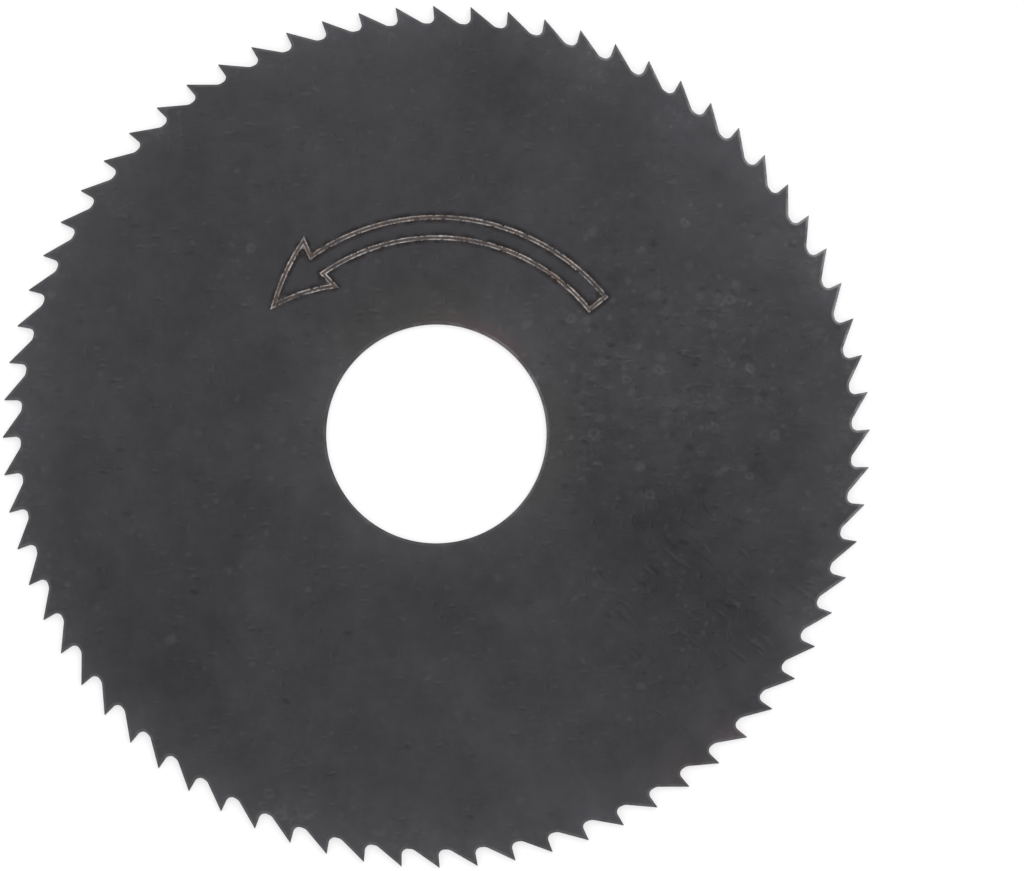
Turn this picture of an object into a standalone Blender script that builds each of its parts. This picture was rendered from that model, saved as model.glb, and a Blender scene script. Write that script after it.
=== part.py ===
"""Metal slitting saw: a thin circular blade of high-speed steel with 72 hooked teeth and a plain bore.

Run with: blender --background --python part.py

Frame: metres, +Z up. The origin is the centre of the bore on the lower face, so the blade lies flat on Z = 0.
Seen from +Z the teeth point counter-clockwise.
"""

import math

import bmesh
import bpy
from mathutils import Vector

# Tooth outline, in metres and radians
TIP_DIAMETER = 0.0630
TOOTH_COUNT = 72
TOOTH_DEPTH = 0.00132  # from the tip circle to the floor of the gullet
RAKE_ANGLE = math.radians(4.5)  # how far the cutting face leans under its tip
GULLET_RADIUS = 0.00042  # round at the foot of the cutting face
GULLET_FLOOR = 0.00015  # floor between the gullet round and the heel round
HEEL_RADIUS = 0.00070  # round between the floor and the back of the next tooth
FIRST_TIP_ANGLE = math.radians(0.15)  # turn of the first tip from the +X axis

# Section
THICKNESS = 0.00060  # at the teeth and at the collar seat
BORE_DIAMETER = 0.0160
BORE_CHAMFER = 0.00015
SEAT_WIDTH = 0.0045  # flat ring around the bore, which the collars of the arbor clamp
RIM_LAND = 0.0030  # flat band inside the gullets
HOLLOW_DEPTH = 0.00003  # how far each side is ground away where the blade is thinnest
HOLLOW_RUNOUT = 0.0020  # width of the slope between the thinnest place and the seat

# Facets
TURNED_STEPS = 2 * TOOTH_COUNT
GULLET_STEPS = 8
HEEL_STEPS = 4
RUNOUT_STEPS = 4
SHARP_ANGLE = math.radians(30)

# The blank is this much wider, and the toothed form this much taller, than the finished blade
CUT_MARGIN = 0.0010
WELD_DISTANCE = 0.000001

TIP_RADIUS = TIP_DIAMETER / 2
ROOT_RADIUS = TIP_RADIUS - TOOTH_DEPTH
PITCH_ANGLE = 2 * math.pi / TOOTH_COUNT


def clear_scene():
    """Empty the scene, so that it ends with the blade and its cutter alone."""
    for existing in list(bpy.data.objects):
        bpy.data.objects.remove(existing)


def new_collection(name):
    """A collection of this name, linked to the scene."""
    collection = bpy.data.collections.new(name)
    bpy.context.scene.collection.children.link(collection)
    return collection


def steam_oxidised_steel():
    """Near-black high-speed steel with a dull metal sheen."""
    material = bpy.data.materials.new("steam_oxidised_steel")
    material.use_nodes = True
    shader = material.node_tree.nodes["Principled BSDF"]
    shader.inputs["Base Color"].default_value = (0.060, 0.058, 0.063, 1.0)
    shader.inputs["Metallic"].default_value = 0.7
    shader.inputs["Roughness"].default_value = 0.5
    return material


def polar(radius, angle):
    """The point at this radius and at this angle, counter-clockwise from +X."""
    return Vector((radius * math.cos(angle), radius * math.sin(angle)))


def direction_of(vector):
    """The angle of a vector, counter-clockwise from +X."""
    return math.atan2(vector.y, vector.x)


def arc(centre, radius, start, end, steps):
    """Points of the shorter arc from one direction to another, both ends included."""
    sweep = math.remainder(end - start, 2 * math.pi)
    return [centre + polar(radius, start + sweep * step / steps) for step in range(steps + 1)]


def gullet_round(tip):
    """The round that touches the cutting face under the tip and the root circle.

    Its centre lies GULLET_RADIUS in front of the face and GULLET_RADIUS outside the root circle: it is where
    a line beside the face meets a circle of that larger radius.
    """
    outward = tip.normalized()
    ahead = Vector((-outward.y, outward.x))
    down_face = -outward * math.cos(RAKE_ANGLE) - ahead * math.sin(RAKE_ANGLE)
    off_face = ahead * math.cos(RAKE_ANGLE) - outward * math.sin(RAKE_ANGLE)

    line_start = tip + off_face * GULLET_RADIUS
    circle_radius = ROOT_RADIUS + GULLET_RADIUS
    nearest = -line_start.dot(down_face)
    half_chord = math.sqrt(nearest**2 - line_start.length_squared + circle_radius**2)
    centre = line_start + down_face * (nearest - half_chord)
    return arc(centre, GULLET_RADIUS, direction_of(-off_face), direction_of(-centre), GULLET_STEPS)


def heel_round(start_angle, next_tip):
    """The round from the floor of the gullet up to the straight back of the next tooth.

    The back is the line from the next tip that touches the round on its side towards the axis.
    """
    centre = polar(ROOT_RADIUS + HEEL_RADIUS, start_angle)
    to_centre = centre - next_tip
    back_length = math.sqrt(to_centre.length_squared - HEEL_RADIUS**2)
    lean = math.asin(HEEL_RADIUS / to_centre.length)
    touch = next_tip + polar(back_length, direction_of(to_centre) - lean)
    return arc(centre, HEEL_RADIUS, direction_of(-centre), direction_of(touch - centre), HEEL_STEPS)


def tooth_space(tip_angle):
    """Outline from one tip to just before the next: cutting face, gullet round, floor, heel round."""
    tip = polar(TIP_RADIUS, tip_angle)
    next_tip = polar(TIP_RADIUS, tip_angle + PITCH_ANGLE)
    gullet = gullet_round(tip)
    heel = heel_round(direction_of(gullet[-1]) + GULLET_FLOOR / ROOT_RADIUS, next_tip)
    return [tip, *gullet, *heel]


def toothed_outline():
    """The closed outline of the blade, counter-clockwise, one tooth space after another."""
    points = []
    for tooth in range(TOOTH_COUNT):
        points += tooth_space(FIRST_TIP_ANGLE + tooth * PITCH_ANGLE)
    return points


def made_mesh(outline, name, collection):
    """A closed mesh object in the place of an extruded curve, which is removed."""
    graph = bpy.context.evaluated_depsgraph_get()
    mesh = bpy.data.meshes.new_from_object(outline.evaluated_get(graph))
    solid = bpy.data.objects.new(name, mesh)
    solid.matrix_world = outline.matrix_world.copy()
    collection.objects.link(solid)
    bpy.data.objects.remove(outline)

    edited = bmesh.new()
    edited.from_mesh(mesh)
    bmesh.ops.remove_doubles(edited, verts=edited.verts, dist=WELD_DISTANCE)
    bmesh.ops.recalc_face_normals(edited, faces=edited.faces)
    edited.to_mesh(mesh)
    edited.free()
    return solid


def toothed_form(collection):
    """A prism of the toothed outline, taller than the blade. The blade is what the blank and it share."""
    points = toothed_outline()
    curve = bpy.data.curves.new("toothed_outline", "CURVE")
    curve.dimensions = "2D"
    curve.fill_mode = "BOTH"
    curve.extrude = THICKNESS / 2 + CUT_MARGIN
    spline = curve.splines.new("POLY")
    spline.points.add(len(points) - 1)
    for spline_point, point in zip(spline.points, points):
        spline_point.co = (point.x, point.y, 0.0, 1.0)
    spline.use_cyclic_u = True

    outline = bpy.data.objects.new("toothed_outline", curve)
    outline.location.z = THICKNESS / 2
    collection.objects.link(outline)
    bpy.context.view_layer.update()

    form = made_mesh(outline, "toothed_form", collection)
    form.hide_render = True
    form.display_type = "WIRE"
    return form


def side_section():
    """One side of the blank from the bore outwards, as (radius, depth under the flat rings).

    Chamfer, collar seat, a half-wave slope down to the thinnest place, then a straight taper that comes up
    to the flat band inside the teeth.
    """
    bore_radius = BORE_DIAMETER / 2
    seat_radius = bore_radius + SEAT_WIDTH
    section = [(bore_radius, BORE_CHAMFER), (bore_radius + BORE_CHAMFER, 0.0)]
    for step in range(RUNOUT_STEPS + 1):
        share = step / RUNOUT_STEPS
        depth = HOLLOW_DEPTH * (1 - math.cos(math.pi * share)) / 2
        section.append((seat_radius + HOLLOW_RUNOUT * share, depth))
    section.append((ROOT_RADIUS - RIM_LAND, 0.0))
    section.append((TIP_RADIUS + CUT_MARGIN, 0.0))
    return section


def turned_blank(name, collection):
    """The disc before its teeth are cut: the section of both sides, turned around the bore."""
    side = side_section()
    upper = [(radius, 0.0, THICKNESS - depth) for radius, depth in side]
    lower = [(radius, 0.0, depth) for radius, depth in reversed(side)]
    points = upper + lower
    edges = [(index, (index + 1) % len(points)) for index in range(len(points))]
    mesh = bpy.data.meshes.new(name)
    mesh.from_pydata(points, edges, [])
    blank = bpy.data.objects.new(name, mesh)
    collection.objects.link(blank)

    turning = blank.modifiers.new("turning", "SCREW")
    turning.steps = TURNED_STEPS
    turning.render_steps = TURNED_STEPS
    turning.use_merge_vertices = True
    turning.merge_threshold = WELD_DISTANCE
    return blank


def cut_teeth(blade, form):
    """Keep only what of the blank lies inside the toothed form, and apply the modifiers."""
    toothing = blade.modifiers.new("toothing", "BOOLEAN")
    toothing.operation = "INTERSECT"
    toothing.object = form

    graph = bpy.context.evaluated_depsgraph_get()
    finished = bpy.data.meshes.new_from_object(blade.evaluated_get(graph))
    blade.modifiers.clear()
    blade.data = finished


def dress(blade):
    """Shade the turned faces smooth, keep the cut edges sharp and give the blade its metal."""
    blade.data.shade_smooth()
    blade.data.set_sharp_from_angle(angle=SHARP_ANGLE)
    blade.data.materials.append(steam_oxidised_steel())


def main():
    """Turn the blank, cut its teeth and dress it."""
    clear_scene()
    form = toothed_form(new_collection("cutters"))
    blade = turned_blank("saw_blade", new_collection("metal_slitting_saw"))
    cut_teeth(blade, form)
    dress(blade)


main()
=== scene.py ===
"""The looks of a metal slitting saw: a thin blade of steam-oxidised high-speed steel with 72 hooked teeth.

The blade is one piece of steel, so it is one closed mesh. Its teeth have worn edges, its sides are ground
hollow, and a plain arrow engraved over the bore gives the direction of rotation.

Frame: metres, +Z up. The blade lies flat on Z = 0 with the axis of its bore on +Z. Points in its plane are
complex numbers, x + iy, so that a turn about the axis is a product.
"""

import logging
import math
from dataclasses import dataclass
from enum import Enum

import bpy
import numpy as np
from bpy.types import Material, Mesh, NodeSocket, NodeTree, Object
from mathutils import Euler, Matrix, Vector
from mathutils.geometry import delaunay_2d_cdt


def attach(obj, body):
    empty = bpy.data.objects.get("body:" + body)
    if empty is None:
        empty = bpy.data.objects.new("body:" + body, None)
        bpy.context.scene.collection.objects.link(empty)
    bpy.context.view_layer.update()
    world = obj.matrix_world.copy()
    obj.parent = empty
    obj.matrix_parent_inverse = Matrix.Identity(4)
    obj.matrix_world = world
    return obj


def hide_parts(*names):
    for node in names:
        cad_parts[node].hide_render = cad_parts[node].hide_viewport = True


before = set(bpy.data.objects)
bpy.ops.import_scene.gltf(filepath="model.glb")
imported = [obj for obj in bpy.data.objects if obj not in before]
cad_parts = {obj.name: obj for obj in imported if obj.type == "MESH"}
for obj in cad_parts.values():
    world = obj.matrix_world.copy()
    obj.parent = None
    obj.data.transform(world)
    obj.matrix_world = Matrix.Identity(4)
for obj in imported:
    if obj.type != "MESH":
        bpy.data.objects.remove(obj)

MM = 0.001
BODY = "root"
NODE = "saw_blade"
SLOT = "steam_oxidised_steel"
FAR = 9.0 * MM  # the distance that stands for "nowhere near" in the mesh's attributes
TOP = 0.6  # mm, height of the upper side, on which the places of the finish are given
FINENESS = 0.6  # how strong the finer parts of every noise are, beside the coarser
SMOOTH = {"interpolation_type": "SMOOTHSTEP"}  # makes a Map Range node a smooth step
COLOURS = {"output": 2, "data_type": "RGBA"}  # makes a Mix node mix its inputs 6 and 7 by its input 0

log = logging.getLogger("slitting_saw")


class Side(Enum):
    """The two ground sides of the blade."""

    UPPER = 1
    LOWER = -1


def arc(centre: complex, radius: float, start: float, end: float, steps: int) -> np.ndarray:
    """Points of the shorter arc from one direction to another, both ends included.

    Args:
        centre: Centre of the circle.
        radius: Its radius.
        start: Direction of the first point from the centre, in radians.
        end: Direction of the last point.
        steps: Number of parts that the arc is divided into.

    Returns:
        The points as complex numbers: centre + radius times e to the i angle.
    """
    sweep = math.remainder(end - start, 2 * math.pi)
    return centre + radius * np.exp(1j * (start + sweep * np.linspace(0, 1, steps + 1)))


def inset(outline: np.ndarray, distances: np.ndarray) -> np.ndarray:
    """Copies of a closed outline, each moved to the left of its direction of travel.

    Every point moves along the bisector of its two edges, by the distance divided by the cosine of half the
    turn there, so that each edge stays parallel to itself.

    Args:
        outline: Points of the closed outline.
        distances: How far each copy is moved; negative is to the right.

    Returns:
        One row of points for each distance.
    """
    edge = np.roll(outline, -1) - outline
    left = 1j * edge / np.abs(edge)
    before = np.roll(left, 1)
    mitre = (before + left) / (1 + (before * left.conj()).real)
    return outline + np.multiply.outer(distances, mitre)


def eased(path: np.ndarray, reach: float, steps: int) -> np.ndarray:
    """An open path with its inner corners rounded.

    Each corner becomes a quadratic curve: it starts and ends `reach` away from the corner along its two
    edges, and the corner itself is its control point.

    Args:
        path: Points of the path.
        reach: Distance from the corner at which the curve starts and ends.
        steps: Number of parts of each curve.

    Returns:
        The points of the rounded path.
    """
    corner = path[1:-1, None]
    start = corner + reach * np.exp(1j * np.angle(path[:-2, None] - corner))
    end = corner + reach * np.exp(1j * np.angle(path[2:, None] - corner))
    share = np.linspace(0, 1, steps + 1)
    curves = start * (1 - share) ** 2 + corner * 2 * share * (1 - share) + end * share**2
    return np.concatenate([path[:1], curves.ravel(), path[-1:]])


def distance_to(path: np.ndarray, points: np.ndarray) -> np.ndarray:
    """The distance of each point from a closed path of straight edges.

    A point's foot on an edge is its share of the way along that edge, kept between 0 and 1, and the smallest
    distance to a foot counts.

    Args:
        path: Points of the closed path.
        points: Points of any shape.

    Returns:
        The distances, in the shape of the points.
    """
    edge = np.roll(path, -1) - path
    offset = points.reshape(-1, 1) - path
    share = np.clip((offset * edge.conj()).real / np.abs(edge) ** 2, 0, 1)
    return np.abs(offset - share * edge).min(axis=1).reshape(points.shape)


class Shell:
    """Gathers the points and faces of one closed mesh, with what its finish reads at each point."""

    def __init__(self) -> None:
        """Start with no points and no faces."""
        self.points = np.empty((0, 4), complex)  # place in the blade's plane, height, edge and mark
        self.faces: list[np.ndarray] = []

    def add_points(
        self,
        plan: np.ndarray,
        height: np.ndarray | float,
        edge: np.ndarray | float = FAR,
        mark: np.ndarray | float = FAR,
    ) -> np.ndarray:
        """Add points.

        Args:
            plan: Their places in the blade's plane, in any shape.
            height: Their heights above Z = 0.
            edge: Their distances from the nearest worn edge.
            mark: Their distances from the middle of the engraving's double line.

        Returns:
            The index of each point in the mesh, in the shape of the plan.
        """
        added = np.stack(np.broadcast_arrays(plan, height, edge, mark), axis=-1).reshape(-1, 4)
        index = len(self.points) + np.arange(plan.size).reshape(plan.shape)
        self.points = np.concatenate([self.points, added])
        return index

    def plan(self, index: np.ndarray) -> np.ndarray:
        """The places of these points in the blade's plane."""
        return self.points[index, 0]

    def add_grid(self, index: np.ndarray, keep: np.ndarray | None = None) -> None:
        """Add a grid of quads whose rows close on themselves.

        Each quad runs along its row and then to the next row, so it faces to the side that the row's
        direction crossed with the step to the next row points to.

        Args:
            index: Point indices, one row after another.
            keep: True for each quad that is added; all of them if left out.
        """
        along = np.roll(index, -1, axis=1)
        quads = np.stack([index[:-1], along[:-1], along[1:], index[1:]], axis=-1)
        chosen = quads.reshape(-1, 4) if keep is None else quads[keep]
        self.faces.append(chosen)

    def fill(self, loops: list[np.ndarray], levels: tuple[int, ...], free: np.ndarray, side: Side) -> None:
        """Fill the room between closed loops with triangles.

        The triangles are the constrained Delaunay triangles of all the points. The number of loops that a
        triangle lies in is its level, and those of the wanted levels are kept. A loop whose cross products
        add up to less than nothing runs clockwise, and is turned round first.

        Args:
            loops: Point indices of each loop.
            levels: The levels that are filled.
            free: Indices of points that stand alone between the loops.
            side: The side that the triangles face to.
        """
        around = [self.plan(loop) for loop in loops]
        areas = [(plan.conj() * np.roll(plan, -1)).imag.sum() for plan in around]
        turned = [loop[:: 1 if area > 0 else -1] for loop, area in zip(loops, areas)]
        index = np.concatenate([*turned, free])
        plan = self.plan(index) / MM
        ends = np.cumsum([0, *map(len, loops)])
        polygons = [list(range(start, end)) for start, end in zip(ends, ends[1:])]
        flat = np.column_stack([plan.real, plan.imag]).tolist()
        _, _, triangles, sources, _, holders = delaunay_2d_cdt(flat, [], polygons, 1, 1e-6)
        source = np.fromiter(map(min, sources), int)
        level = np.fromiter(map(len, holders), int)
        chosen = index[source[np.array(triangles)[np.isin(level, levels)]]]
        self.faces.append(chosen[:, :: side.value])

    def mesh(self, name: str) -> Mesh:
        """The finished mesh, with the distances to worn edges and to the engraving as attributes in mm.

        Points that no face uses are left out.

        Args:
            name: Name of the mesh.

        Returns:
            The mesh.
        """
        used = np.unique(np.concatenate([faces.ravel() for faces in self.faces]))
        number = np.zeros(len(self.points), int)
        number[used] = np.arange(len(used))
        faces = [face for faces in self.faces for face in number[faces].tolist()]
        plan, height, edge, mark = self.points[used].T
        points = np.column_stack([plan.real, plan.imag, height.real])
        made = bpy.data.meshes.new(name)
        made.from_pydata(points.tolist(), [], faces)
        for attribute, values in (("edge_distance", edge), ("mark_distance", mark)):
            layer = made.attributes.new(attribute, "FLOAT", "POINT")
            layer.data.foreach_set("value", (values.real / MM).astype(np.float32))
        return made


@dataclass(frozen=True)
class ToothForm:
    """The outline of the teeth: raked face, gullet round, floor, heel round and straight back."""

    count: int = 72
    tip_radius: float = 31.5 * MM
    depth: float = 1.32 * MM
    rake: float = math.radians(4.5)
    gullet_radius: float = 0.42 * MM
    floor_length: float = 0.15 * MM
    heel_radius: float = 0.70 * MM
    first_tip: float = math.radians(0.15)
    gullet_steps: int = 12
    heel_steps: int = 7
    back_shares: tuple[float, ...] = (0.3,)

    @property
    def root_radius(self) -> float:
        """The radius of the floors of the gullets."""
        return self.tip_radius - self.depth

    @property
    def pitch(self) -> float:
        """The angle from one tip to the next."""
        return 2 * math.pi / self.count

    def gullet_round(self, tip: complex) -> np.ndarray:
        """The round that touches the cutting face under the tip and the root circle.

        Its centre lies a gullet radius in front of the face and a gullet radius outside the root circle: it
        is where a line beside the face meets a circle of that larger radius.

        Args:
            tip: The tip over the face.

        Returns:
            The points of the round, from the face to the root circle.
        """
        outward = tip / abs(tip)
        ahead = 1j * outward
        down_face = -outward * math.cos(self.rake) - ahead * math.sin(self.rake)
        off_face = ahead * math.cos(self.rake) - outward * math.sin(self.rake)
        start = tip + off_face * self.gullet_radius
        nearest = -(start * down_face.conjugate()).real
        reach = self.root_radius + self.gullet_radius
        half_chord = math.sqrt(nearest**2 - abs(start) ** 2 + reach**2)
        centre = start + down_face * (nearest - half_chord)
        return arc(centre, self.gullet_radius, np.angle(-off_face), np.angle(-centre), self.gullet_steps)

    def heel_round(self, start: float, next_tip: complex) -> np.ndarray:
        """The round from the floor up to the back of the next tooth.

        The back is the line from the next tip that touches the round on its side towards the axis.

        Args:
            start: Angle around the axis at which the round leaves the floor.
            next_tip: The tip that the back runs to.

        Returns:
            The points of the round, from the root circle to the back.
        """
        centre = (self.root_radius + self.heel_radius) * np.exp(1j * start)
        to_centre = centre - next_tip
        length = math.sqrt(abs(to_centre) ** 2 - self.heel_radius**2)
        lean = math.asin(self.heel_radius / abs(to_centre))
        touch = next_tip + length * np.exp(1j * (np.angle(to_centre) - lean))
        return arc(centre, self.heel_radius, np.angle(-centre), np.angle(touch - centre), self.heel_steps)

    def outline(self) -> np.ndarray:
        """The outline of all teeth: one tooth space, turned by the pitch again and again.

        Returns:
            The points of the closed outline, counter-clockwise.
        """
        tip = self.tip_radius * np.exp(1j * self.first_tip)
        next_tip = tip * np.exp(1j * self.pitch)
        gullet = self.gullet_round(tip)
        heel = self.heel_round(np.angle(gullet[-1]) + self.floor_length / self.root_radius, next_tip)
        back = heel[-1] + (next_tip - heel[-1]) * np.array(self.back_shares)
        space = np.concatenate([[tip], gullet, heel, back])
        turns = np.exp(1j * self.pitch * np.arange(self.count))
        return np.multiply.outer(turns, space).ravel()


@dataclass(frozen=True)
class SideSection:
    """The section of the blade's sides from the bore to the teeth."""

    thickness: float = 0.60 * MM
    bore_radius: float = 8.0 * MM
    chamfer: float = 0.15 * MM
    chamfer_ease: float = 0.05 * MM  # how far from its corners the chamfer is worn round
    ease_steps: int = 3
    seat_radius: float = 12.5 * MM
    low_radius: float = 14.5 * MM  # where the blade is thinnest
    land_radius: float = 27.18 * MM  # inside of the flat band under the teeth
    hollow: float = 0.03 * MM
    seat_steps: int = 4
    runout_steps: int = 6
    taper_steps: int = 11
    land_steps: int = 2

    def depth(self, radius: np.ndarray) -> np.ndarray:
        """How far the side lies under its flat rings.

        It is the lesser of a half wave that falls from the seat and a straight taper that rises to the land.

        Args:
            radius: Distances from the axis.

        Returns:
            The depths.
        """
        fall = np.clip((radius - self.seat_radius) / (self.low_radius - self.seat_radius), 0, 1)
        rise = np.clip((self.land_radius - radius) / (self.land_radius - self.low_radius), 0, 1)
        return self.hollow * np.minimum((1 - np.cos(math.pi * fall)) / 2, rise)

    def chamfer_curve(self) -> np.ndarray:
        """The bore's chamfer with its corners worn round.

        Returns:
            Its points as radius + i depth, from the flat inwards.
        """
        flat = self.bore_radius + self.chamfer
        path = np.array([flat + 4 * self.chamfer_ease, flat, self.bore_radius + 1j * self.chamfer])
        path = np.append(path, self.bore_radius + 1j * self.thickness / 2)
        return eased(path, self.chamfer_ease, self.ease_steps)[:-1]

    def rings(self, outer: float) -> np.ndarray:
        """One side of the turned part, from its outermost ring inwards to the bore.

        Args:
            outer: Radius of the outermost ring.

        Returns:
            The rings as radius + i depth.
        """
        chamfer = self.chamfer_curve()
        parts = (
            (outer, self.land_radius, self.land_steps),
            (self.land_radius, self.low_radius, self.taper_steps),
            (self.low_radius, self.seat_radius, self.runout_steps),
            (self.seat_radius, chamfer[0].real, self.seat_steps),
        )
        radii = np.concatenate([np.linspace(*part, endpoint=False) for part in parts])
        return np.concatenate([radii + 1j * self.depth(radii), chamfer])


@dataclass(frozen=True)
class RotationArrow:
    """The engraved arrow for the direction of rotation, bent round the bore.

    Its outline is burnt in as two fine parallel lines, as a marking laser does.
    """

    radius: float = 15.1 * MM  # of its middle line around the bore
    middle: float = math.radians(90)
    length: float = 27.0 * MM
    shaft_half: float = 0.75 * MM
    head_half: float = 2.0 * MM
    head_length: float = 4.3 * MM
    sweep: float = 0.2 * MM  # how far the barbs lie behind the foot of the head
    line_half: float = 0.05 * MM  # half the width of one burnt line
    line_apart: float = 0.125 * MM  # from the middle of the outline to the middle of each line
    line_depth: float = 0.02 * MM
    shallowest: float = 0.45  # share of that depth where it is burnt least
    spacing: float = 0.12 * MM  # between points along the outline
    corner_room: float = 0.5 * MM  # left free of points beside each corner, where the lines' edges cross
    seed: int = 5

    def bent(self, flat: np.ndarray) -> np.ndarray:
        """A drawing bent round the bore: its x becomes the way along the middle line, its y the way out."""
        return (self.radius + flat.imag) * np.exp(1j * (self.middle + flat.real / self.radius))

    def outline(self) -> np.ndarray:
        """The outline of the arrow, its corners kept sharp.

        Every edge runs straight in the flat drawing and has evenly spaced points between its corners.

        Returns:
            The points of the closed outline in the blade's plane.
        """
        back, foot, tip = -self.length / 2, self.length / 2 - self.head_length, self.length / 2
        shaft, barb = 1j * self.shaft_half, self.sweep + 1j * self.head_half
        under = [back - shaft, foot - shaft, foot - barb]
        corners = np.array([*under, tip, *np.conj(under[::-1])])
        edges = []
        for corner, following in zip(corners, np.roll(corners, -1)):
            length = abs(following - corner)
            room = min(self.corner_room, length / 3)
            steps = max(1, round((length - 2 * room) / self.spacing))
            shares = np.linspace(room, length - room, steps + 1) / length
            edges.append(corner + (following - corner) * np.concatenate([[0], shares]))
        return self.bent(np.concatenate(edges))

    def line_section(self) -> tuple[np.ndarray, np.ndarray]:
        """The section across both burnt lines.

        Returns:
            The offsets from the outline, and the share of the full depth at each.
        """
        groove = np.array([-1.3, -0.7, 0.0, 0.7, 1.3]) * self.line_half
        share = np.array([0.0, 0.7, 1.0, 0.7, 0.0])
        offsets = np.concatenate([groove - self.line_apart, [0.0], groove + self.line_apart])
        return offsets, np.concatenate([share, [0.0], share])

    def unevenness(self, count: int) -> np.ndarray:
        """How unevenly the lines are burnt in.

        Random numbers are each averaged with their neighbours, and what lies between 0.2 and 0.7 is spread
        over the whole range.

        Args:
            count: Number of points of the outline.

        Returns:
            The share of its depth that the line has at each point, from the shallowest to 1.
        """
        noise = np.random.default_rng(self.seed).random(count)
        smooth = (np.roll(noise, 1) + 2 * noise + np.roll(noise, -1)) / 4
        return self.shallowest + (1 - self.shallowest) * np.clip((smooth - 0.2) / 0.5, 0, 1)


def srgb(code: str) -> tuple[float, float, float, float]:
    """Turn a colour from sRGB hex to linear values.

    Args:
        code: The colour, such as "#424144".

    Returns:
        Its linear red, green and blue, and an alpha of 1.
    """
    share = np.array([int(code[start : start + 2], 16) for start in (1, 3, 5)]) / 255
    linear = np.where(share <= 0.04045, share / 12.92, ((share + 0.055) / 1.055) ** 2.4)
    return (*linear.tolist(), 1.0)


def add(
    tree: NodeTree,
    kind: str,
    inputs: tuple[object, ...] | dict[int | str, object] = (),
    output: int | str = 0,
    **settings: object,
) -> NodeSocket:
    """Add a node with its settings and links.

    Args:
        tree: The node tree.
        kind: The node's type, without the leading "ShaderNode".
        inputs: What its inputs get, in their order or by number or name: values, or sockets that feed them.
        output: Number or name of the output that is wanted.
        settings: The node's own settings.

    Returns:
        That output's socket.
    """
    made = tree.nodes.new(f"ShaderNode{kind}")
    for name, value in settings.items():
        setattr(made, name, value)
    for key, value in inputs.items() if isinstance(inputs, dict) else enumerate(inputs):
        if isinstance(value, NodeSocket):
            tree.links.new(value, made.inputs[key])
        else:
            made.inputs[key].default_value = value
    return made.outputs[output]


@dataclass(frozen=True)
class Noise:
    """Cloudy noise, or ragged patches where it is cut."""

    size: float  # mm, of its clouds
    low: float = 0.0  # what it gives at its lowest
    high: float = 1.0  # what it gives at its highest
    cut: tuple[float, float] | None = None  # if given, the shares of its height between which it changes
    detail: float = 3.0  # how many finer noises it adds to the coarsest, each half the size of the last
    stretch: float = 1.0  # how much longer its clouds are along X

    def drawn(self, place: NodeSocket) -> NodeSocket:
        """Draw the noise.

        Args:
            place: Object coordinates in millimetres.

        Returns:
            What each place gets: in proportion to the noise, or a smooth step of it where it is cut.
        """
        tree = place.id_data
        along = add(tree, "VectorMath", (place, (1 / self.stretch, 1.0, 1.0)), operation="MULTIPLY")
        inputs = {"Vector": along, "Scale": 1 / self.size, "Detail": self.detail, "Roughness": FINENESS}
        start, end = self.cut or (0.0, 1.0)
        ends = (add(tree, "TexNoise", inputs), start, end, self.low, self.high)
        return add(tree, "MapRange", ends, interpolation_type="SMOOTHSTEP" if self.cut else "LINEAR")


@dataclass(frozen=True)
class Blot:
    """A soft-edged round place. With its centre on the axis it is a disc, or everything outside a disc."""

    centre: tuple[float, float]  # mm
    size: float  # mm from the centre, where it ends
    inside: float  # what it gives where it is full
    outside: float = 0.0  # what it gives to the rest of the blade
    full: float | None = None  # mm from the centre, where it is full; a quarter of the size if left out

    def drawn(self, place: NodeSocket) -> NodeSocket:
        """Draw the blot.

        Args:
            place: Object coordinates in millimetres.

        Returns:
            What each place gets: a smooth step of its distance from the centre on the upper side.
        """
        tree = place.id_data
        away = add(tree, "VectorMath", (place, (*self.centre, TOP)), "Value", operation="DISTANCE")
        full = self.size / 4 if self.full is None else self.full
        return add(tree, "MapRange", (away, self.size, full, self.outside, self.inside), **SMOOTH)


@dataclass(frozen=True)
class Warp:
    """Moves places about by cloudy noise, so that what is drawn with them gets an uneven outline."""

    size: float  # mm, of the noise's clouds
    reach: float  # mm, how far the noise at its strongest moves a place to either side

    def drawn(self, place: NodeSocket) -> NodeSocket:
        """Move the places.

        Args:
            place: Object coordinates in millimetres.

        Returns:
            The moved place: the place plus the noise's colour, less one half, times twice the reach.
        """
        tree = place.id_data
        noise = {"Vector": place, "Scale": 1 / self.size, "Detail": 2.0, "Roughness": FINENESS}
        colour = add(tree, "TexNoise", noise, "Color")
        off = add(tree, "VectorMath", (colour, (0.5, 0.5, 0.5)), operation="SUBTRACT")
        reaches = (2 * self.reach, 2 * self.reach, 0.0)
        return add(tree, "VectorMath", (off, reaches, place), operation="MULTIPLY_ADD")


@dataclass(frozen=True)
class Tint:
    """A soft-edged place at the bore or at the teeth where the oxide skin has another colour."""

    centre: tuple[float, float]  # mm
    size: float  # mm, from its middle to where it ends
    outer: float  # mm from the axis, where it ends too
    colour: str


@dataclass(frozen=True)
class Stain:
    """A band along the engraving that heat has browned."""

    start: float  # mm from the middle of the double line
    full: float  # mm from the middle of the double line
    least: float  # how thickly it lies between the browned patches
    patchy: float  # how much more thickly in them
    colour: str


class Zone(Enum):
    """The parts of the blade that small marks are strewn over.

    Each value says how thickly they stand between their groups, and how thickly over the blade.
    """

    EVEN = (1.0, Blot((0.0, 0.0), 31.5, 1.0, 1.0))
    GROUPS = (0.0, Blot((1.0, -21.0), 15.0, 0.5, 1.0))
    RIGHT = (0.5, Blot((17.0, 5.0), 15.0, 1.0, 0.15))
    RUBBED = (0.6, Blot((17.8, -13.0), 12.5, 1.0))
    RIM = (0.0, Blot((0.0, 0.0), 28.4, 1.0, full=30.6))


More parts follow.
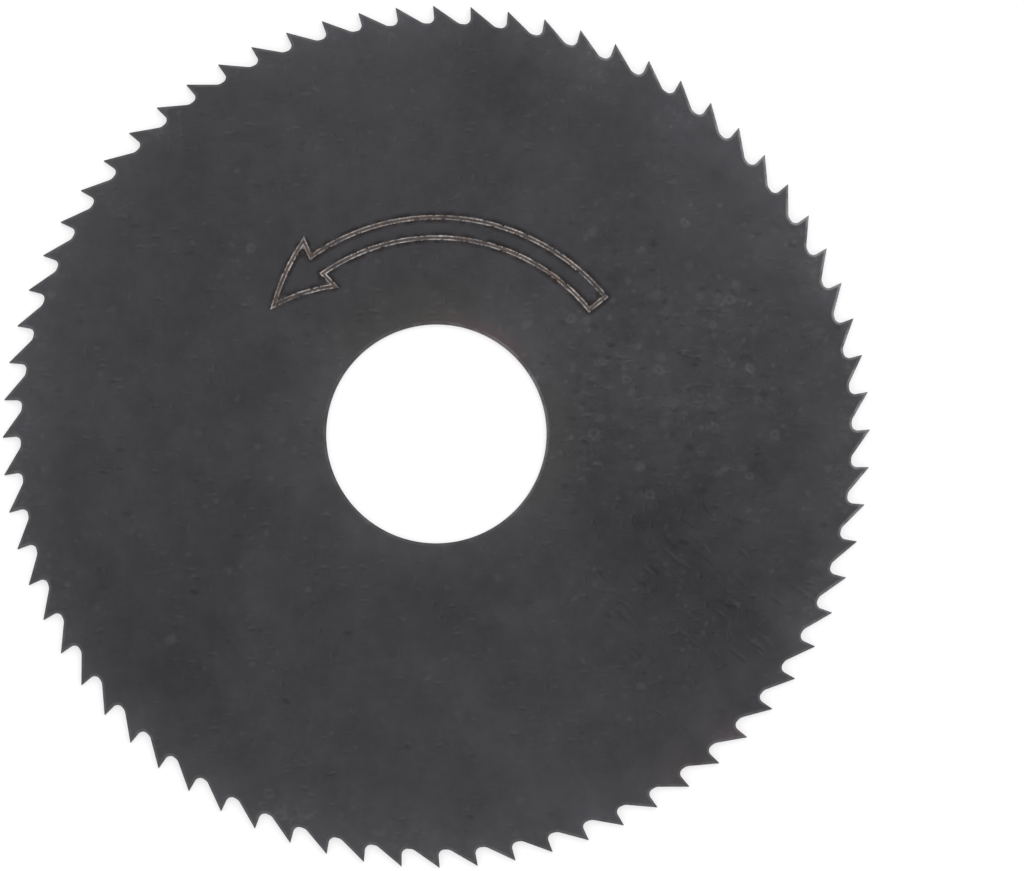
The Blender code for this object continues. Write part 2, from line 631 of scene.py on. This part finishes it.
@dataclass(frozen=True)
class Marks:
    """One kind of small mark: soft-edged ovals, each in the middle of its own random cell."""

    zone: Zone
    length: float  # mm, mean spacing along the marks
    width: float  # mm, mean spacing across them
    turn: float  # degrees from +X to their length
    share: float  # of the cells that hold a mark
    reach: float  # from the middle to the edge of the largest, as a share of the spacing
    tone: float  # grey levels
    painted_flank_shade: float = 0.0  # painted light and shade: how much lighter one flank is, and darker the other, in grey levels
    ring: bool = False  # open in the middle
    soft: float = 0.28  # width of the soft edge, as a share of the spacing

    @property
    def straight(self) -> bool:
        """Whether it is a stroke or a scratch, which is drawn straighter than a pit or a speck."""
        return self.painted_flank_shade > 0 or self.length > 4 * self.width

    def drawn(self, place: NodeSocket, zone: NodeSocket) -> NodeSocket:
        """Draw the marks.

        Each cell has three random numbers. It holds a mark if the first and the share come over 1 together.
        The second gives the mark half its reach to the whole, and the third 0.4 to 1.2 of its tone. The mark
        is a smooth step of its reach less the distance from the cell's middle, and a ring fades again inside.

        Args:
            place: Object coordinates in millimetres.
            zone: How thickly the marks stand, from 0 to 1.

        Returns:
            The tone in grey levels.
        """
        tree = place.id_data
        inputs = {
            "Vector": place,
            "Location": (3.1 * self.length, 5.3 * self.width, 0.0),  # so that no two kinds share their cells
            "Rotation": Euler((0.0, 0.0, math.radians(self.turn))),
            "Scale": (self.length, self.width, 1.0),
        }
        cells = add(tree, "Mapping", inputs, vector_type="TEXTURE")
        away = add(tree, "TexVoronoi", {"Vector": cells, "Scale": 1.0}, voronoi_dimensions="2D")
        chance = add(tree, "SeparateColor", (away.node.outputs["Color"],))
        size, strength = chance.node.outputs[1], chance.node.outputs[2]
        chosen = add(tree, "Math", (zone, self.share, chance), operation="MULTIPLY_ADD")
        mark = add(tree, "MapRange", (chosen, 1.0, 1.03), **SMOOTH)
        reach = add(tree, "Math", (size, self.reach / 2, self.reach / 2), operation="MULTIPLY_ADD")
        inside = add(tree, "Math", (reach, away), operation="SUBTRACT")
        shares = [
            add(tree, "MapRange", (inside, 0.0, self.soft), **SMOOTH),
            add(tree, "Math", (strength, 0.8, 0.4), operation="MULTIPLY_ADD"),
        ]
        if self.ring:
            shares.append(add(tree, "MapRange", (inside, 1.6 * self.soft, 0.7 * self.soft), **SMOOTH))
        tone: NodeSocket | float = self.tone
        # Painted shading: one flank of a stroke or scratch lighter and the other darker, as if lit from one
        # side
        if self.painted_flank_shade:
            middle = away.node.outputs["Position"]
            offset = add(tree, "VectorMath", (cells, middle), operation="SUBTRACT")
            across = add(tree, "SeparateXYZ", (offset,), "Y")
            tone = add(tree, "Math", (across, self.painted_flank_shade / self.reach, tone), operation="MULTIPLY_ADD")
        for share in (*shares, tone):
            mark = add(tree, "Math", (mark, share), operation="MULTIPLY")
        return mark


@dataclass(frozen=True)
class SteamOxidisedSteel:
    """High-speed steel, ground flat and then blackened in steam.

    The steam grows a thin skin of iron oxide: near-black with a dull sheen, more violet in one place than in
    another, cloudy over a few millimetres and speckled under a millimetre. Handling leaves fine scratches on
    it, and bare steel shows where an edge has rubbed.
    """

    skin_violet: str = "#3B3A3D"
    skin_grey: str = "#3A3A3C"
    bare: str = "#A5A2A6"
    metallic: float = 0.85
    dullness: Noise = Noise(1.1, 0.43, 0.57)  # its roughness
    polish: float = 0.12  # what wear takes off the roughness
    grain: Noise = Noise(0.22)  # the real grain is near 0.02 mm, and is drawn coarser so that it shows
    grain_strength: float = 0.18
    grain_height: float = 0.02 * MM
    level: float = 0.03  # what one grey level does to the linear colour of so dark a skin
    start_tone: float = -0.4  # grey levels, what the tones below start from

    # The skin's hue: its noise from the first step to the second turns violet to grey, and drifts shift it
    hue: Noise = Noise(7.0, detail=6.0)
    hue_step: tuple[float, float] = (0.42, 0.58)
    drifts: tuple[Blot, ...] = (
        Blot((17.5, -13.0), 13.0, -0.05),
        Blot((1.0, -21.0), 14.0, 0.05),
        Blot((17.0, 4.0), 10.0, 0.04),
        Blot((-17.0, -14.0), 11.0, -0.04),
        Blot((13.0, 21.0), 9.0, -0.05),
    )
    tints: tuple[Tint, ...] = (
        Tint((-2.0, 9.5), 8.5, 12.0, "#3A3A3A"),
        Tint((9.5, -0.5), 7.0, 10.6, "#3A3A3A"),
        Tint((3.7, 7.4), 5.5, 9.6, "#413A3C"),
        Tint((0.0, 8.6), 3.0, 9.8, "#3D3A3A"),
        Tint((21.3, -22.3), 2.4, 33.0, "#3F3B3E"),
        Tint((18.0, -25.0), 2.8, 33.0, "#3E3B3D"),
    )
    tint_edge: float = 1.5  # mm, over which a tint ends at its outer radius

    # The skin's tone, in grey levels: light and dark places, most of them the oxide's own mottling. The light
    # places toward the upper right are painted sheen from the light on that side, and the last four are
    # lighter rings at the bore and under the teeth, painted reflection of the hollow-ground slopes
    wandering: Warp = Warp(5.0, 3.0)  # of those places
    uneven: Warp = Warp(0.6, 0.28)  # of clouds, pits and specks
    bending: Warp = Warp(3.0, 0.4)  # of strokes and scratches, as the next
    wavering: Warp = Warp(0.9, 0.20)
    blots_and_painted_sheen: tuple[Blot, ...] = (
        # Painted sheen: the light places toward the upper right, such as this first one, come from the light
        # on that side
        Blot((24.0, 18.0), 12.0, 6.5),
        Blot((11.5, 28.5), 7.0, 3.0),
        Blot((-6.0, 27.5), 14.0, 5.5),
        Blot((-28.5, 3.5), 8.0, 4.5),
        Blot((6.0, 7.0), 5.5, 6.0),
        Blot((-8.0, 4.0), 5.0, 2.0),
        Blot((17.0, 5.5), 12.0, 2.2),
        Blot((16.5, -5.0), 9.0, -5.0),
        Blot((13.5, -5.0), 5.0, -3.0),
        Blot((17.5, -13.0), 9.5, -5.5),
        Blot((2.0, -10.5), 7.0, -3.5),
        Blot((-28.5, -9.0), 6.0, -2.0),
        Blot((28.5, -10.0), 6.0, -3.5),
        Blot((7.5, 30.5), 4.5, 5.5),
        Blot((9.0, 18.0), 5.0, 3.0),
        Blot((7.0, -25.0), 6.0, 2.5),
        Blot((-8.0, -15.0), 5.0, -1.5),
        Blot((-17.0, -4.5), 6.0, -2.0),
        Blot((-22.5, 12.0), 6.0, 2.5),
        Blot((3.0, 10.5), 4.5, 2.5),
        Blot((-19.0, -14.0), 9.5, -4.5),
        Blot((3.4, 25.8), 4.5, -3.5),
        Blot((2.0, -28.0), 14.0, 2.0),
        # Painted reflection: lighter rings at the bore and under the teeth, where the hollow-ground slopes
        # catch the light
        Blot((0.0, 0.0), 12.0, 6.0, full=8.5),
        Blot((0.0, 0.0), 9.8, 4.0, full=8.0),
        Blot((0.0, 0.0), 26.5, 8.0, full=31.0),
        Blot((0.0, 0.0), 29.5, 6.0, full=31.5),
    )
    clouds: tuple[tuple[Zone, Noise], ...] = (
        (Zone.EVEN, Noise(5.0, -8.0, 8.0)),
        (Zone.EVEN, Noise(1.6, -6.5, 6.5)),
        (Zone.EVEN, Noise(0.6, -3.5, 3.5)),
        (Zone.EVEN, Noise(0.22, -0.5, 0.5)),
        (Zone.RIGHT, Noise(1.3, -12.0, 12.0, stretch=1.4)),
        (Zone.RIGHT, Noise(0.55, 0.0, 9.0, cut=(0.55, 0.72), stretch=1.8)),
        (Zone.RIGHT, Noise(0.55, 0.0, -5.0, cut=(0.45, 0.28), stretch=1.8)),
        (Zone.RIM, Noise(0.7, 0.0, 9.5, cut=(0.50, 0.68))),
    )
    # Pits, specks and scratches, a few times coarser than the real ones so that they show
    marks: tuple[Marks, ...] = (
        Marks(Zone.RIGHT, 1.4, 1.15, 20.0, 0.34, 0.46, 9.0),
        Marks(Zone.RIGHT, 1.9, 1.7, -30.0, 0.28, 0.32, 14.0, ring=True, soft=0.18),
        Marks(Zone.RIGHT, 0.85, 0.7, 30.0, 0.28, 0.42, 11.0),
        Marks(Zone.RIGHT, 1.4, 0.5, 1.0, 0.44, 0.46, 2.0, painted_flank_shade=16.0),
        Marks(Zone.RIGHT, 1.05, 0.48, 88.0, 0.28, 0.44, 0.0, painted_flank_shade=13.0),
        Marks(Zone.RIGHT, 1.25, 0.7, -5.0, 0.32, 0.44, -7.5),
        Marks(Zone.GROUPS, 1.35, 0.55, 0.0, 0.36, 0.46, 2.0, painted_flank_shade=17.0),
        Marks(Zone.GROUPS, 1.0, 0.52, 89.0, 0.2, 0.44, 0.0, painted_flank_shade=14.0),
        Marks(Zone.GROUPS, 1.3, 0.7, 5.0, 0.1, 0.44, -5.5, soft=0.32),
        Marks(Zone.GROUPS, 0.95, 0.8, -20.0, 0.14, 0.38, 9.0),
        Marks(Zone.RUBBED, 4.2, 0.72, -43.0, 0.4, 0.46, 1.0, painted_flank_shade=15.0, soft=0.34),
        Marks(Zone.RUBBED, 2.8, 0.6, -38.0, 0.32, 0.44, -4.5, painted_flank_shade=9.0, soft=0.36),
        Marks(Zone.RUBBED, 2.0, 0.6, -47.0, 0.26, 0.46, 2.0, painted_flank_shade=16.0, soft=0.32),
        Marks(Zone.RUBBED, 1.5, 0.55, 3.0, 0.4, 0.44, 0.0, painted_flank_shade=16.0, soft=0.32),
        Marks(Zone.RUBBED, 1.1, 0.55, 86.0, 0.3, 0.44, 0.0, painted_flank_shade=14.0, soft=0.32),
        Marks(Zone.RUBBED, 1.0, 0.75, 20.0, 0.18, 0.42, 10.0),
        Marks(Zone.RIM, 1.0, 0.75, 60.0, 0.34, 0.44, 8.0),
        Marks(Zone.RIM, 1.1, 0.52, 4.0, 0.3, 0.44, 0.0, painted_flank_shade=13.0),
        Marks(Zone.EVEN, 5.0, 0.17, 86.0, 0.02, 0.46, 8.0, soft=0.22),
        Marks(Zone.EVEN, 3.5, 0.17, 3.0, 0.02, 0.46, 6.0, soft=0.22),
    )
    groups: Noise = Noise(3.4, cut=(0.38, 0.58), detail=2.0)  # that marks stand in

    # Heat has browned the skin around the engraving. Its two lines are bare, dull and broken, grey in one
    # place and coppery in another
    browned: Noise = Noise(0.9, cut=(0.32, 0.62))
    stains: tuple[Stain, ...] = (
        Stain(0.60, 0.15, 0.15, 0.80, "#1F1A19"),
        Stain(0.13, 0.08, 0.20, 0.70, "#59504D"),
    )
    line: tuple[float, float] = (0.07, 0.012)  # mm from a line's middle, where it starts and where it is full
    line_shift: Noise = Noise(0.3, -0.045, 0.045, detail=2.0)  # mm, added to that distance
    line_breaks: tuple[Noise, ...] = (
        Noise(0.40, cut=(0.32, 0.54), detail=2.0),
        Noise(0.16, 0.55, cut=(0.35, 0.65), detail=1.0),
        Noise(1.8, 0.45, cut=(0.35, 0.65), detail=2.0),
    )
    line_grey: str = "#BBB6B3"
    line_copper: str = "#B6A39B"
    coppery: Noise = Noise(2.6, cut=(0.50, 0.66), detail=2.0)

    # Bare steel shows along the rubbed edges, and the edges are lighter on the right and at the top, a
    # painted edge highlight from the light on that side
    wear: tuple[float, float] = (0.24, 0.09)  # mm from the edge, where it starts and where it is full
    rubbing: Noise = Noise(0.9, 0.3, cut=(0.35, 0.65), detail=2.0)
    # Painted edge highlight: makes the bare edges strongest toward the upper right, where the light comes
    # from
    wear_and_lit_side_highlight: Blot = Blot((26.0, 12.0), 36.0, 0.42, 0.12)

    def tones(self, place: NodeSocket) -> NodeSocket:
        """Everything that makes the skin lighter or darker, in grey levels from its own colour.

        Args:
            place: Object coordinates in millimetres.

        Returns:
            The sum of all tones.
        """
        tree = place.id_data
        total: NodeSocket | float = self.start_tone
        wandering = self.wandering.drawn(place)
        # Adds the mottling, with its painted sheen toward the upper right and its painted reflection rings at
        # the bore and under the teeth
        for blot in self.blots_and_painted_sheen:
            total = add(tree, "Math", (total, blot.drawn(wandering)), operation="ADD")

        groups = self.groups.drawn(place)
        zones = {}
        for zone in Zone:
            between, area = zone.value
            thick = add(tree, "Math", (groups, 1 - between, between), operation="MULTIPLY_ADD")
            spread = area.drawn(wandering if zone is Zone.RIM else place)
            zones[zone] = add(tree, "Math", (thick, spread), operation="MULTIPLY")
        uneven = self.uneven.drawn(place)
        wavering = self.wavering.drawn(self.bending.drawn(place))
        for zone, cloud in self.clouds:
            inputs = (cloud.drawn(uneven), zones[zone], total)
            total = add(tree, "Math", inputs, operation="MULTIPLY_ADD")
        for marks in self.marks:
            tone = marks.drawn(wavering if marks.straight else uneven, zones[marks.zone])
            total = add(tree, "Math", (total, tone), operation="ADD")
        return total

    def skin(self, place: NodeSocket) -> NodeSocket:
        """The oxide skin.

        Args:
            place: Object coordinates in millimetres.

        Returns:
            Its colour: the hue times one plus the tones.
        """
        tree = place.id_data
        hue = self.hue.drawn(place)
        for drift in self.drifts:
            hue = add(tree, "Math", (hue, drift.drawn(place)), operation="ADD")
        greyer = add(tree, "MapRange", (hue, *self.hue_step), **SMOOTH)
        colour = add(tree, "Mix", {0: greyer, 6: srgb(self.skin_violet), 7: srgb(self.skin_grey)}, **COLOURS)
        for tint in self.tints:
            spread = Blot(tint.centre, tint.size, 1.0).drawn(place)
            within = Blot((0.0, 0.0), tint.outer, 1.0, full=tint.outer - self.tint_edge).drawn(place)
            share = add(tree, "Math", (spread, within), operation="MULTIPLY")
            colour = add(tree, "Mix", {0: share, 6: colour, 7: srgb(tint.colour)}, **COLOURS)
        factor = add(tree, "Math", (self.tones(place), self.level, 1.0), operation="MULTIPLY_ADD")
        return add(tree, "VectorMath", {0: colour, "Scale": factor}, operation="SCALE")

    def engraved(self, place: NodeSocket, ground: NodeSocket, apart: float) -> NodeSocket:
        """The engraving and the skin around it.

        Args:
            place: Object coordinates in millimetres.
            ground: Colour of the blade without the engraving.
            apart: Distance from the middle of the double line to each line, in millimetres.

        Returns:
            The colour of the blade with the engraving.
        """
        tree = place.id_data
        middle = add(tree, "Attribute", output="Fac", attribute_name="mark_distance")
        browned = self.browned.drawn(place)
        colour = ground
        for stain in self.stains:
            band = add(tree, "MapRange", (middle, stain.start, stain.full), **SMOOTH)
            thick = add(tree, "Math", (browned, stain.patchy, stain.least), operation="MULTIPLY_ADD")
            share = add(tree, "Math", (band, thick), operation="MULTIPLY")
            colour = add(tree, "Mix", {0: share, 6: colour, 7: srgb(stain.colour)}, **COLOURS)

        away = add(tree, "Math", (middle, apart), operation="SUBTRACT")
        away = add(tree, "Math", (away,), operation="ABSOLUTE")
        away = add(tree, "Math", (away, self.line_shift.drawn(place)), operation="ADD")
        line = add(tree, "MapRange", (away, *self.line), **SMOOTH)
        for breaks in self.line_breaks:
            line = add(tree, "Math", (line, breaks.drawn(place)), operation="MULTIPLY")
        coppery = self.coppery.drawn(place)
        metal = add(tree, "Mix", {0: coppery, 6: srgb(self.line_grey), 7: srgb(self.line_copper)}, **COLOURS)
        return add(tree, "Mix", {0: line, 6: colour, 7: metal}, **COLOURS)

    def material(self, line_apart: float) -> Material:
        """Build the material.

        Args:
            line_apart: Distance from the middle of the engraving's double line to each line, in millimetres.

        Returns:
            The material, ready for the blade.
        """
        made = bpy.data.materials.new(SLOT)
        made.use_nodes = True
        tree = made.node_tree
        shader = tree.nodes["Principled BSDF"]
        coordinates = add(tree, "TexCoord", output="Object")
        place = add(tree, "VectorMath", {0: coordinates, "Scale": 1 / MM}, operation="SCALE")

        # The bare edges are partly real wear and partly painted edge highlight, strongest toward the upper
        # right
        edge = add(tree, "Attribute", output="Fac", attribute_name="edge_distance")
        worn = add(tree, "MapRange", (edge, *self.wear), **SMOOTH)
        for pattern in (self.rubbing, self.wear_and_lit_side_highlight):
            worn = add(tree, "Math", (worn, pattern.drawn(place)), operation="MULTIPLY")
        dressed = self.engraved(place, self.skin(place), line_apart)
        colour = add(tree, "Mix", {0: worn, 6: dressed, 7: srgb(self.bare)}, **COLOURS)
        tree.links.new(colour, shader.inputs["Base Color"])

        roughness = (worn, -self.polish, self.dullness.drawn(place))
        tree.links.new(add(tree, "Math", roughness, operation="MULTIPLY_ADD"), shader.inputs["Roughness"])
        relief = {"Height": self.grain.drawn(place), "Strength": self.grain_strength}
        bump = add(tree, "Bump", {**relief, "Distance": self.grain_height})
        tree.links.new(bump, shader.inputs["Normal"])
        shader.inputs["Metallic"].default_value = self.metallic
        return made


@dataclass(frozen=True)
class SawBlade:
    """The whole blade: teeth, ground sides, bore and engraving in one closed mesh."""

    teeth: ToothForm = ToothForm()
    section: SideSection = SideSection()
    arrow: RotationArrow = RotationArrow()
    finish: SteamOxidisedSteel = SteamOxidisedSteel()
    columns: int = 576  # points around each ring of the turned part
    outer_gap: float = 0.5 * MM  # from the root circle to the outermost ring
    edge_round: float = 0.05 * MM  # wear of the teeth's edges
    edge_steps: int = 4
    chamfer_dull: float = 0.05 * MM  # the bore's chamfer is worn as little as this far from a tooth's edge
    inner_rows: tuple[float, ...] = (0.24 * MM, 0.16 * MM, 0.09 * MM)
    patch_start: float = math.radians(31.25)
    patch_end: float = math.radians(148.75)
    patch_outer: float = 18.5 * MM
    patch_grid: float = 0.42 * MM  # between the patch's own points
    patch_gap: float = 0.08 * MM  # least distance from them to the burnt lines
    sharp: float = math.radians(40)

    def add_turned(self, shell: Shell) -> tuple[np.ndarray, np.ndarray]:
        """Add both ground sides and the bore, with the room for the engraving left open.

        The rings of one side run inwards to the bore, and those of the other side run back out, so the grid
        is the whole section carried round the axis.

        Args:
            shell: Where the points and faces go.

        Returns:
            The indices of the turned grid, and the loop of points round the open patch.
        """
        side = self.section.rings(self.teeth.root_radius - self.outer_gap)
        radius = np.concatenate([side.real, side.real[::-1]])
        height = np.concatenate([self.section.thickness - side.imag, side.imag[::-1]])
        turn = np.exp(2j * math.pi * np.arange(self.columns) / self.columns)
        middle = self.section.bore_radius + self.section.chamfer / 2
        from_chamfer = np.abs(radius - middle) + self.chamfer_dull
        index = shell.add_points(np.multiply.outer(radius, turn), height[:, None], edge=from_chamfer[:, None])

        pitch = 2 * math.pi / self.columns
        first, last = round(self.patch_start / pitch), round(self.patch_end / pitch)
        top = int(np.argmin(np.abs(side.real - self.patch_outer)))
        bottom = int(np.argmin(np.abs(side.real - self.section.seat_radius)))
        keep = np.ones((len(radius) - 1, self.columns), bool)
        keep[top:bottom, first:last] = False
        shell.add_grid(index, keep)
        inner, outer = index[bottom, first:last], index[top, last:first:-1]
        return index, np.concatenate([inner, index[bottom:top:-1, last], outer, index[top:bottom, first]])

    def add_rim(self, shell: Shell) -> np.ndarray:
        """Add the edges of the teeth: both worn rounds and the wall between them.

        The rows are insets of the toothed outline: a quarter round on each side, whose inset is the radius
        times one minus the cosine, and whose depth is the radius times one minus the sine.

        Args:
            shell: Where the points and faces go.

        Returns:
            The indices of the rim's grid, its first row on the lower side and its last on the upper.
        """
        angle = np.linspace(math.pi / 2, 0, self.edge_steps + 1)
        inner = np.array(self.inner_rows)
        distance = np.concatenate([inner, self.edge_round * (1 - np.cos(angle))])
        height = np.concatenate([np.zeros_like(inner), self.edge_round * (1 - np.sin(angle))])
        distance = np.concatenate([distance, distance[::-1]])
        height = np.concatenate([height, self.section.thickness - height[::-1]])
        plan = inset(self.teeth.outline(), distance)
        index = shell.add_points(plan, height[:, None], edge=distance[:, None])
        shell.add_grid(index)
        return index

    def add_engraving(self, shell: Shell, loop: np.ndarray) -> None:
        """Add the burnt lines of the arrow, and the side of the blade between and around them.

        The lines are their section carried along the arrow's outline. The rest of the patch is filled with
        triangles, with points in between that keep the side's hollow.

        Args:
            shell: Where the points and faces go.
            loop: Indices of the points round the open patch.
        """
        outline = self.arrow.outline()
        offsets, shares = self.arrow.line_section()
        plan = inset(outline, offsets)
        burnt = self.arrow.line_depth * np.multiply.outer(shares, self.arrow.unevenness(len(outline)))
        height = self.section.thickness - self.section.depth(np.abs(plan)) - burnt
        lines = shell.add_points(plan, height, mark=np.abs(offsets)[:, None])
        shell.add_grid(lines)

        radius, angle = np.abs(shell.plan(loop)), np.angle(shell.plan(loop))
        step, turn = self.patch_grid, self.patch_grid / self.arrow.radius
        radii = np.arange(radius.min() + step / 2, radius.max() - step / 2, step)
        turns = np.arange(angle.min() + turn / 2, angle.max() - turn / 2, turn)
        between = np.multiply.outer(radii, np.exp(1j * turns)).ravel()
        between = between[distance_to(outline, between) > offsets.max() + self.patch_gap]
        height = self.section.thickness - self.section.depth(np.abs(between))
        free = shell.add_points(between, height, mark=distance_to(outline, between))
        shell.fill([loop, lines[0], lines[-1]], (1, 3), free, Side.UPPER)

    def build(self) -> Object:
        """Build the blade's mesh and make it an object.

        Returns:
            The blade, not dressed yet.
        """
        shell = Shell()
        turned, loop = self.add_turned(shell)
        rim = self.add_rim(shell)
        nothing = np.empty(0, int)
        shell.fill([rim[-1], turned[0]], (1,), nothing, Side.UPPER)
        shell.fill([rim[0], turned[-1]], (1,), nothing, Side.LOWER)
        self.add_engraving(shell, loop)
        blade = bpy.data.objects.new("saw_blade_dressed", shell.mesh("saw_blade_dressed"))
        bpy.context.scene.collection.objects.link(blade)
        return blade

    def dress(self, blade: Object) -> None:
        """Shade the blade, give it its finish and set it in the place of its CAD node.

        Args:
            blade: The built blade.
        """
        blade.data.shade_smooth()
        blade.data.set_sharp_from_angle(angle=self.sharp)
        blade.data.materials.append(self.finish.material(self.arrow.line_apart / MM))
        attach(blade, BODY)
        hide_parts(NODE)


@dataclass(frozen=True)
class Softbox:
    """A square lamp with a diffusing cover."""

    name: str
    place: tuple[float, float, float]
    side: float
    power: float

    def build(self) -> None:
        """Hang the lamp so that it faces the blade."""
        light = bpy.data.lights.new(self.name, "AREA")
        light.shape = "SQUARE"
        light.size = self.side
        light.energy = self.power
        lamp = bpy.data.objects.new(self.name, light)
        lamp.location = self.place
        lamp.rotation_euler = (-Vector(self.place)).to_track_quat("-Z", "Y").to_euler()
        bpy.context.scene.collection.objects.link(lamp)


@dataclass(frozen=True)
class Studio:
    """White floor, soft light and the camera."""

    softboxes: tuple[Softbox, ...] = (
        Softbox("key_softbox", (0.35, 0.30, 0.90), 0.60, 1.4),
        Softbox("fill_softbox", (-0.60, -0.50, 0.80), 0.60, 0.5),
    )
    floor_half: float = 4.0
    floor_gap: float = 0.005 * MM  # between the blade and the floor, which would else be one surface
    floor_grey: str = "#D0D0D0"
    surround: float = 0.70  # strength of the white surround where it lights dull surfaces
    floor_glow: float = 0.57  # what the floor adds for the camera, so that it is white and keeps its shadow
    target: tuple[float, float, float] = (5.494 * MM, -0.199 * MM, 0.6 * MM)
    tilt: float = math.radians(6.32)  # of the view from straight down
    roll: float = math.radians(-0.37)  # of the camera about its own view
    distance: float = 0.450
    lens: float = 217.9

    def seen(self, tree: NodeTree) -> NodeSocket:
        """Tell the rays that show a thing itself from those that only carry its light.

        Args:
            tree: The node tree.

        Returns:
            1 for rays from the camera, mirrored rays and rays that pass through, and 0 for all others.
        """
        total: NodeSocket | float = 0.0
        for kind in ("Camera", "Glossy", "Transmission"):
            ray = add(tree, "LightPath", output=f"Is {kind} Ray")
            total = add(tree, "Math", (total, ray), operation="MAXIMUM")
        return total

    def world(self) -> None:
        """A white surround: white itself wherever it is seen or mirrored, and plainer as a light."""
        world = bpy.data.worlds.new("white_surround")
        world.use_nodes = True
        tree = world.node_tree
        strength = add(tree, "Mix", {0: self.seen(tree), 2: self.surround, 3: 1.0})
        background = tree.nodes["Background"]
        background.inputs["Color"].default_value = (1.0, 1.0, 1.0, 1.0)
        tree.links.new(strength, background.inputs["Strength"])
        bpy.context.scene.world = world

    def floor(self) -> None:
        """A plain white floor under the blade, which keeps the blade's shadow and is clear from below."""
        half, low = self.floor_half, -self.floor_gap
        corners = [(-half, -half, low), (half, -half, low), (half, half, low), (-half, half, low)]
        mesh = bpy.data.meshes.new("floor")
        mesh.from_pydata(corners, [], [(0, 1, 2, 3)])
        material = bpy.data.materials.new("matt_white_paper")
        material.use_nodes = True
        tree = material.node_tree
        shader = tree.nodes["Principled BSDF"]
        shader.inputs["Base Color"].default_value = srgb(self.floor_grey)
        shader.inputs["Roughness"].default_value = 0.9
        shader.inputs["Specular IOR Level"].default_value = 0.0
        shader.inputs["Emission Color"].default_value = (1.0, 1.0, 1.0, 1.0)
        strength = add(tree, "Math", (self.seen(tree), self.floor_glow), operation="MULTIPLY")
        tree.links.new(strength, shader.inputs["Emission Strength"])
        beneath = add(tree, "NewGeometry", output="Backfacing")
        clear = add(tree, "BsdfTransparent")
        shown = add(tree, "MixShader", (beneath, shader.outputs["BSDF"], clear))
        tree.links.new(shown, tree.nodes["Material Output"].inputs["Surface"])
        mesh.materials.append(material)
        floor = bpy.data.objects.new("floor", mesh)
        bpy.context.scene.collection.objects.link(floor)

    def camera(self) -> None:
        """A long lens nearly straight over the blade, which stands left of the middle of the picture."""
        data = bpy.data.cameras.new("camera")
        data.lens = self.lens
        data.clip_start = 0.01
        data.clip_end = 20.0
        camera = bpy.data.objects.new("camera", data)
        back = Vector((0.0, -math.sin(self.tilt), math.cos(self.tilt)))
        camera.location = Vector(self.target) + back * self.distance
        turn = Matrix.Rotation(self.tilt, 3, "X") @ Matrix.Rotation(self.roll, 3, "Z")
        camera.rotation_euler = turn.to_euler()
        bpy.context.scene.collection.objects.link(camera)
        bpy.context.scene.camera = camera

    def build(self) -> None:
        """Set up the studio and its plain view of colours."""
        bpy.context.scene.view_settings.view_transform = "Standard"
        self.world()
        self.floor()
        for softbox in self.softboxes:
            softbox.build()
        self.camera()


def main() -> None:
    """Build the blade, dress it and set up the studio."""
    logging.basicConfig(level=logging.INFO, format="%(name)s %(message)s")
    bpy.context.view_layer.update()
    blade = SawBlade()
    piece = blade.build()
    log.info("saw blade: %d points, %d faces", len(piece.data.vertices), len(piece.data.polygons))
    blade.dress(piece)
    Studio().build()


if __name__ == "__main__":
    main()
